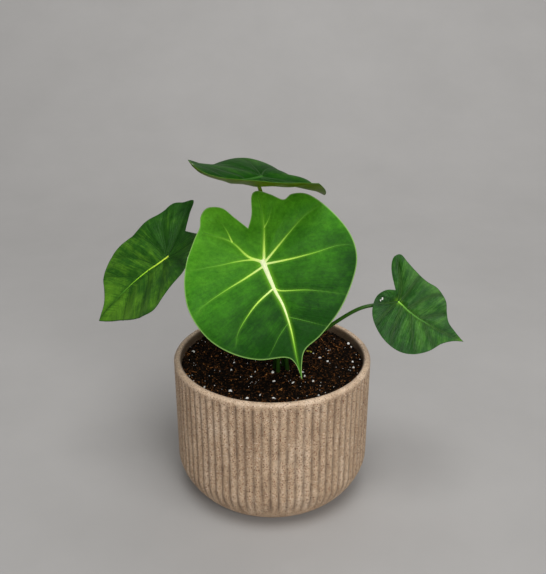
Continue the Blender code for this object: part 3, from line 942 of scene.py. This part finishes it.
VEIN_SKINS = {
    "front": grown_material("vein_front", [
        (0.0, (246, 255, 200)), (0.44, (242, 255, 180)), (0.58, (206, 246, 100)),
        (0.72, (134, 198, 50)), (0.86, (82, 150, 36)), (1.0, (54, 118, 22))],
        0.42, faintest=0.96),
    # Left leaf: the side veins fall on the dark stops from 0.80 on, painted shade of the valleys
    # they lie in.
    "left": grown_material("vein_left", [
        (0.0, (226, 255, 84)), (0.34, (166, 232, 54)), (0.58, (84, 148, 42)),
        (0.80, (22, 58, 12)), (1.0, (30, 74, 16))], 0.5),
    "top": grown_material("vein_top", [
        (0.0, (52, 104, 28)), (0.24, (44, 92, 24)), (0.50, (34, 78, 18)),
        (1.0, (22, 62, 12))], 0.5),
    # Right leaf: the side veins fall on the dark stops from 0.66 on, painted shade of the valleys
    # they lie in.
    "right": grown_material("vein_right", [
        (0.0, (156, 218, 74)), (0.12, (104, 164, 62)), (0.45, (74, 132, 50)),
        (0.66, (22, 62, 12)), (1.0, (30, 76, 18))], 0.5),
}
# The stops from 0.78 on are painted light: the stalk's upper end is lighter, as where light shines
# through it under the leaf.
STALK_SKIN = grown_material("stalk_skin", [
    (0.0, (60, 84, 24)), (0.06, (30, 56, 12)), (0.20, (38, 76, 12)), (0.70, (44, 86, 12)),
    (0.78, (124, 160, 12)), (1.0, (160, 200, 40))], 0.38, streak_scale=900.0)
print("vein skins:", len(VEIN_SKINS), "and", STALK_SKIN.name)

# %% [markdown]
# ## Growing the blades
#
# A blade is a disc whose rings are stretched to the leaf's outline.  The rings crowd
# towards the margin, so that the pale edge stays crisp, and every ring carries the
# quilting between the veins.  The upper skin, the underside and a rounded margin close
# into one thin body.

# %% Blade builder
def vein_grain(u, v):
    """Flow map: first number, where the side vein through this point leaves the midrib;
    second number, how far out it is."""
    out = np.abs(u)
    source = np.clip(v, 0.0, None)
    for _ in range(12):
        slope = 0.15 + 0.012 * source
        source = 0.5 * source + 0.5 * np.clip(v - slope * out, 0.0, None)
    behind = np.maximum(out * 0.15 - v, 0.0)
    swing = np.where(source <= 0.01, np.arctan2(behind, out + 0.5) * 22.0, 0.0)
    return source - swing, np.hypot(out, np.minimum(v, 0.0)) * np.sign(u)


def grow_blade(name, leaf):
    outline = leaf_outline(leaf)
    count = len(outline)
    rings = 1.0 - (1.0 - np.arange(1, RINGS + 1) / RINGS) ** 1.3
    flat = np.concatenate([[(0.0, 0.0)]] + [outline * ring for ring in rings])
    u, v = flat[:, 0], flat[:, 1]
    height, glow, margin, away = blade_height(leaf, u, v)
    half = half_thickness(margin)
    upper = lay_on_leaf(leaf, u, v, height + half)
    lower = lay_on_leaf(leaf, u, v, height - half)
    lip = lay_on_leaf(leaf, *(outline * 1.004).T, height[-count:])

    top = len(flat)
    around = [(index, (index + 1) % count) for index in range(count)]
    upper_faces = [(0, 1 + a, 1 + b) for a, b in around]
    for row in range(RINGS - 1):
        inner, outer = 1 + row * count, 1 + (row + 1) * count
        upper_faces += [(inner + a, outer + a, outer + b, inner + b) for a, b in around]
    lower_faces = [tuple(top + index for index in reversed(face)) for face in upper_faces]
    last, lip_start = 1 + (RINGS - 1) * count, 2 * top
    edge_faces = []
    for a, b in around:
        edge_faces.append((last + a, lip_start + a, lip_start + b, last + b))
        edge_faces.append((lip_start + a, top + last + a, top + last + b, lip_start + b))

    mesh = bpy.data.meshes.new("leaf_" + name)
    mesh.from_pydata(np.concatenate([upper, lower, lip]).tolist(), [],
                     upper_faces + lower_faces + edge_faces)
    mesh.shade_smooth()
    mesh.materials.append(SKINS[name])
    mesh.materials.append(UNDERSIDE)
    faces = np.zeros(len(mesh.polygons), dtype=np.int32)
    faces[len(upper_faces):len(upper_faces) + len(lower_faces)] = 1
    mesh.polygons.foreach_set("material_index", faces)

    reach = np.hypot(u, v) / math.hypot(*leaf["tip_point"])
    # Painted shade along the veins' creases, on the upper face only.
    painted_crease_shade = np.exp(-(away / 1.7) ** 2)
    glow = np.maximum(glow, np.exp(-(reach / 0.045) ** 2))
    to_tip = np.hypot(u - leaf["tip_point"][0], v - leaf["tip_point"][1])
    glow = np.maximum(glow, np.exp(-(to_tip / leaf.get("lime_tip", 1.0)) ** 2))
    edge = np.exp(-(margin / 0.32) ** 2)
    # Painted light: "tone" shifts the skin lighter and darker across the blade and along it.
    across, along = leaf["painted_light"]
    tone = across * u / 50.0 + along * v / 50.0
    put_attribute(mesh, "near_vein", np.concatenate([glow, glow, glow[-count:]]))
    put_attribute(mesh, "painted_crease_shade", np.concatenate([painted_crease_shade, 0 * painted_crease_shade, painted_crease_shade[-count:]]))
    put_attribute(mesh, "near_edge", np.concatenate([edge, edge * 0.5, np.ones(count)]))
    put_attribute(mesh, "tone", np.concatenate([tone, tone, tone[-count:]]))
    grain = np.column_stack(vein_grain(u, v))
    grain = np.concatenate([grain, grain, grain[-count:]])
    corner = np.empty(len(mesh.loops), dtype=np.int32)
    mesh.loops.foreach_get("vertex_index", corner)
    mesh.uv_layers.new(name="grain").data.foreach_set("uv", grain[corner].ravel())
    mesh.validate()
    blade = link_mesh("leaf_" + name, mesh)
    print("leaf_%-6s %6d faces" % (name, len(mesh.polygons)))
    return blade


for name, leaf in LEAVES.items():
    blade = grow_blade(name, leaf)
    finish_on_leaf(blade, name)

# %% [markdown]
# ## Veins and stalks
#
# Veins and stalks are both tapering tubes that follow a path.  Their paths are bare
# edges with a girth at each point, and one Geometry Nodes tree turns edges into curves
# and sweeps a circle along them.  Veins are sunk so that only a low ridge shows on the
# upper face, while the round rib stands out underneath, as it does on a real leaf.

# %% Tube tree
def tube_tree():
    """Sweep a circle along each path, with the radius that the path's girth gives."""
    group = Group("grow_tubes", [("Sides", "Int", 10), ("Material", "Material", None)])
    curves = group.first("GeometryNodeMeshToCurve", {"Mesh": group.inputs["Geometry"]})
    girth = group.first("GeometryNodeInputNamedAttribute", {"Name": "girth"},
                        data_type='FLOAT')
    circle = group.first("GeometryNodeCurvePrimitiveCircle", {
        "Resolution": group.inputs["Sides"], "Radius": 1.0})
    swept = group.first("GeometryNodeCurveToMesh", {
        "Curve": curves, "Profile Curve": circle, "Scale": girth, "Fill Caps": True})
    return group.end(group.first("GeometryNodeSetShadeSmooth", {0: swept}))


def path_object(name, paths):
    """Bare edges along each path.  A path is (points, girths, fades)."""
    verts, edges, girths, fades = [], [], [], []
    for points, girth, fade in paths:
        start = len(verts)
        verts += [tuple(point) for point in points]
        edges += [(start + index, start + index + 1) for index in range(len(points) - 1)]
        girths += list(girth)
        fades += list(fade)
    mesh = bpy.data.meshes.new(name)
    mesh.from_pydata(verts, edges, [])
    put_attribute(mesh, "girth", girths)
    put_attribute(mesh, "fade", fades)
    return link_mesh(name, mesh)


tubes = tube_tree()


# %% Grow the veins
SUNK_SHARE = 0.62


def vein_paths(leaf):
    paths = []
    reach = math.hypot(*leaf["tip_point"])
    for points, thick, thin in leaf["veins"]:
        flat = smooth_path(points, 12)
        share = np.linspace(0.0, 1.0, len(flat))
        girth = thin + (thick - thin) * (1.0 - share) ** 1.75
        u, v = flat[:, 0], flat[:, 1]
        height, _, margin, _ = blade_height(leaf, u, v)
        lift = height + half_thickness(margin) - SUNK_SHARE * girth
        if thick == leaf["veins"][0][1]:
            fade = np.hypot(u, v) / reach
        else:
            fade = min(leaf["pale_loss"] + 0.5 * max(1.0 - thick, 0.0), 0.98)
            fade = fade + (1.0 - fade) * share
        paths.append((lay_on_leaf(leaf, u, v, lift), girth * MM, fade))
    return paths


for name, leaf in LEAVES.items():
    veins = path_object("veins_" + name, vein_paths(leaf))
    grow(veins, tubes, {"Sides": 10, "Material": VEIN_SKINS[name]})
    finish_on_leaf(veins, name)

# %% Grow the stalks
STALKS = {
    "front": ((-0.0020, -0.0045), [(0.003, -0.011, 0.130), (0.000, -0.012, 0.170)]),
    "left": ((-0.0045, 0.0020), [(-0.012, -0.004, 0.125), (-0.046, 0.003, 0.162)]),
    "top": ((0.0020, 0.0040), [(0.006, 0.003, 0.130), (-0.002, 0.010, 0.200)]),
    "right": ((0.0050, -0.0010), [(0.026, -0.008, 0.1195), (0.060, -0.009, 0.144)]),
}


def stalk_path(leaf, root, via):
    face = leaf_axes(leaf)[2]
    joint = np.array(leaf["joint"])
    start = np.array((CROWN[0] + root[0], CROWN[1] + root[1], SOIL_LEVEL - 2.7 * MM))
    route = [start, start + (0, 0, 16 * MM)] + [np.array(point) for point in via]
    route += [joint - face * 7 * MM, joint - face * 1.2 * MM]
    points = smooth_path(route, 16)
    share = np.linspace(0.0, 1.0, len(points))
    girth = 1.20 + 0.30 * (1.0 - share) ** 1.2 + 0.20 * np.exp(-(share / 0.10) ** 2)
    girth += 0.45 * np.exp(-((1.0 - share) / 0.05) ** 2)
    return points, girth * MM, share


for name, (root, via) in STALKS.items():
    stalk = path_object("stalk_" + name, [stalk_path(LEAVES[name], root, via)])
    grow(stalk, tubes, {"Sides": 20, "Material": STALK_SKIN})
    finish_piece(stalk, "stalk_green", "petiole_" + name)

# %% [markdown]
# ## Fallen bits
#
# Potting up always spills a little.  Two grains of perlite have stuck to the right leaf,
# and a dry yellow flake lies on the soil at the right.  Each is a small faceted lump.

# %% Bits on the leaf and the soil
def lump_mesh(name, rows, skin, slot, *nodes):
    """Small uneven lumps.  A row is (middle, size), both in metres."""
    bm = bmesh.new()
    for middle, size in rows:
        place = Matrix.Translation(middle) @ Matrix.Diagonal((*size, 1.0))
        bmesh.ops.create_icosphere(bm, subdivisions=2, radius=0.5, matrix=place)
    for vert in bm.verts:
        vert.co += 0.35 * MM * noise.noise_vector(vert.co * 900)
    piece = link_bmesh(name, bm)
    piece.data.materials.append(skin)
    finish_piece(piece, slot, *nodes)
    print(name, len(piece.data.polygons), "faces")


def on_leaf(leaf, u, v, lift):
    u, v = np.array([float(u)]), np.array([float(v)])
    height = blade_height(leaf, u, v)[0]
    return Vector(lay_on_leaf(leaf, u, v, height + BLADE_HALF + lift)[0])


dry_leaf = grain_material("dry_leaf", [
    (0.34, (104, 98, 16)), (0.54, (152, 150, 40)), (0.70, (182, 186, 120))], 700.0, 0.8)
lump_mesh("spilt_perlite", [
    (on_leaf(LEAVES["right"], -5.1, -9.6, 0.5), (1.3 * MM, 1.2 * MM, 2.2 * MM)),
    (on_leaf(LEAVES["right"], -6.8, -10.1, 0.4), (1.0 * MM, 1.0 * MM, 1.0 * MM))],
    chalk, "potting_mix")
lump_mesh("leaf_flake", [
    (Vector((0.0262, 0.0150, SOIL_LEVEL + 1.2 * MM)), (2.6 * MM, 1.8 * MM, 1.2 * MM)),
    (Vector((0.0282, 0.0142, SOIL_LEVEL + 1.0 * MM)), (1.8 * MM, 1.6 * MM, 1.2 * MM))],
    dry_leaf, "potting_mix", "soil")

# %% [markdown]
# ## Corm
#
# The corm is the buried stem that feeds the leaves.  Its CAD shape is right, so it
# stays, and only gets a fibrous brown skin.

# %% Corm skin
corm_skin = grain_material("corm_fibre", [
    (0.30, (58, 34, 18)), (0.55, (104, 66, 36)), (0.75, (140, 96, 58))], 320.0, 0.85)
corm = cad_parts["corm"]
corm.data.materials.clear()
corm.data.materials.append(corm_skin)
print("corm keeps its CAD shape")

# %% [markdown]
# ## Studio
#
# A pale seamless floor sweeps up behind the pot.  A large soft light stands in front, a
# little to the right, a second hangs high in front, and a weak one behind lights the
# sweep.  The surroundings fill the shadows, so the shade around the foot is soft.

# %% Floor and light
def floor_material():
    skin = Skin("studio_floor")
    paper = skin.ramp(skin.noise(skin.place, 9.0, 4.0, 0.6),
                      [(0.3, (171, 169, 167)), (0.7, (176, 174, 172))])
    return skin.done(paper, 0.95, 0.1)


REACH, BEND_START, BEND_RADIUS, WALL_TOP = 6.0, 0.5, 0.9, 3.0


def seamless_floor():
    """A flat floor that bends up behind the pot into a wall, with no corner to see."""
    profile = [(-REACH, 0.0), (-1.0, 0.0)]
    for step in range(25):
        turn = 0.5 * math.pi * step / 24
        profile.append((BEND_START + BEND_RADIUS * math.sin(turn),
                        BEND_RADIUS * (1.0 - math.cos(turn))))
    profile.append((profile[-1][0], WALL_TOP))
    verts = [(side * REACH, y, z) for y, z in profile for side in (-1, 1)]
    faces = [(2 * i, 2 * i + 1, 2 * i + 3, 2 * i + 2) for i in range(len(profile) - 1)]
    mesh = bpy.data.meshes.new("floor")
    mesh.from_pydata(verts, [], faces)
    mesh.shade_smooth()
    mesh.materials.append(floor_material())
    return link_mesh("floor", mesh)


floor = seamless_floor()


def soft_light(name, place, size, power, towards=aim):
    data = bpy.data.lights.new(name, 'AREA')
    data.shape = 'DISK'
    data.size = size
    data.energy = power
    light = bpy.data.objects.new(name, data)
    light.location = place
    light.rotation_euler = (Vector(towards) - Vector(place)).to_track_quat('-Z', 'Y').to_euler()
    bpy.context.scene.collection.objects.link(light)


soft_light("key_softbox", (0.58, -1.95, 1.05), 1.3, 24.0)
soft_light("top_softbox", (0.10, -0.60, 2.05), 1.3, 22.0)
soft_light("backdrop_light", (0.15, 0.50, 1.30), 0.8, 3.9, towards=(0.15, 1.30, 0.15))
world = bpy.data.worlds.new("studio")
world.use_nodes = True
sky = world.node_tree.nodes["Background"].inputs
sky["Color"].default_value = (1.0, 1.0, 1.0, 1.0)
sky["Strength"].default_value = 0.20
bpy.context.scene.world = world
